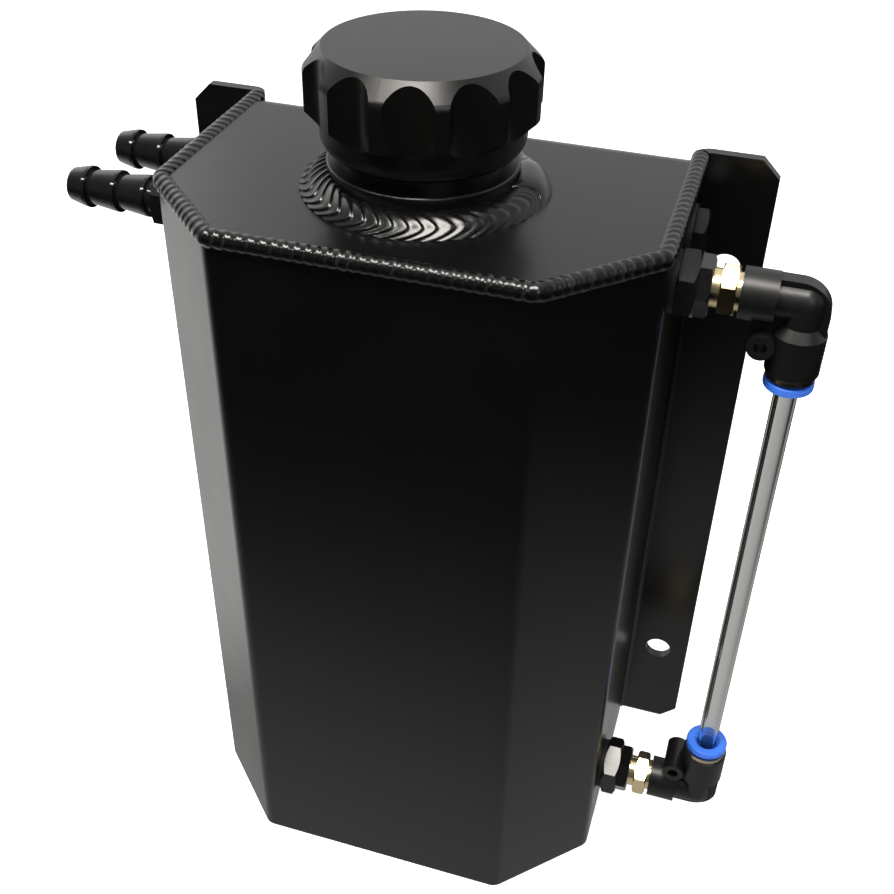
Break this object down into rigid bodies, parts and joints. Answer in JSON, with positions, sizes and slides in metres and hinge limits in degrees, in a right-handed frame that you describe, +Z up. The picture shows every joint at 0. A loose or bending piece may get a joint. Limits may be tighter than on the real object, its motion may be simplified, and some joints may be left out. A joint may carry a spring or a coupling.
{
  "type": "coolant expansion tank",
  "caption": "Welded black aluminium coolant expansion tank with cut front corners, mounting ears, scalloped screw cap, hose barbs and a clear sight tube on push-fit elbows.",
  "frame": {"origin": "middle of the base, halfway between the front face and the front of the mounting ears", "axes": "+X to the sight gauge, +Y to the mounting ears at the back, +Z up"},
  "size_m": [0.2012, 0.0893, 0.2547],
  "materials": {
    "powder_coat": "black satin powder coat on aluminium sheet",
    "neck_bead": "black coated weld bead, glossier than the sheet",
    "anodised_black": "black anodised turned aluminium",
    "bare_aluminium": "machined aluminium",
    "fitting_black": "gloss black anodised fittings",
    "brass": "machined brass",
    "black_plastic": "satin black moulded plastic",
    "blue_plastic": "bright blue moulded plastic",
    "clear_tube": "clear extruded plastic",
    "spring_steel": "spring steel",
    "seal_rubber": "black rubber"
  },
  "bodies": {
    "tank": {"adaptor_lower": "fitting_black", "adaptor_upper": "fitting_black", "barb_front": "fitting_black", "barb_rear": "fitting_black", "base_plate": "powder_coat", "bung_barb_front": "bare_aluminium", "bung_barb_rear": "bare_aluminium", "bung_gauge_lower": "bare_aluminium", "bung_gauge_upper": "bare_aluminium", "bung_plug": "bare_aluminium", "elbow_lower": "black_plastic", "elbow_upper": "black_plastic", "filler_neck": "anodised_black", "grip_lower": "spring_steel", "grip_upper": "spring_steel", "neck_weld": "neck_bead", "port_plug": "fitting_black", "rear_seam_left": "powder_coat", "rear_seam_right": "powder_coat", "seal_lower": "seal_rubber", "seal_upper": "seal_rubber", "shell_wrap": "powder_coat", "sight_tube": "clear_tube", "sleeve_lower": "brass", "sleeve_upper": "brass", "stud_lower": "brass", "stud_upper": "brass", "top_back_panel": "powder_coat", "top_seam_weld": "powder_coat", "washer_barb_front": "seal_rubber", "washer_barb_rear": "seal_rubber", "washer_gauge_lower": "seal_rubber", "washer_gauge_upper": "seal_rubber", "washer_plug": "seal_rubber"},
    "cap_seal": {"cap_oring": "seal_rubber"},
    "cap": {"filler_cap": "anodised_black"},
    "upper_collar": {"collar_upper": "blue_plastic"},
    "lower_collar": {"collar_lower": "blue_plastic"}
  },
  "joints": [
    {"name": "cap_rise", "type": "slide", "parent": "tank", "child": "cap_seal", "axis": [0, 0, 1], "range_m": [0, 0.008]},
    {"name": "cap_turn", "type": "hinge", "parent": "cap_seal", "child": "cap", "pos_m": [0, 0, 0.2297], "axis": [0, 0, 1], "range_deg": [0, 1440]},
    {"name": "upper_collar_push", "type": "slide", "parent": "tank", "child": "upper_collar", "axis": [0, 0, 1], "range_m": [0, 0.0008], "stiffness_N_per_m": 500},
    {"name": "lower_collar_push", "type": "slide", "parent": "tank", "child": "lower_collar", "axis": [0, 0, -1], "range_m": [0, 0.0008], "stiffness_N_per_m": 500}
  ],
  "couplings": [
    {"joint": "cap_rise", "follows": "cap_turn", "m_per_rad": 0.0003183}
  ]
}
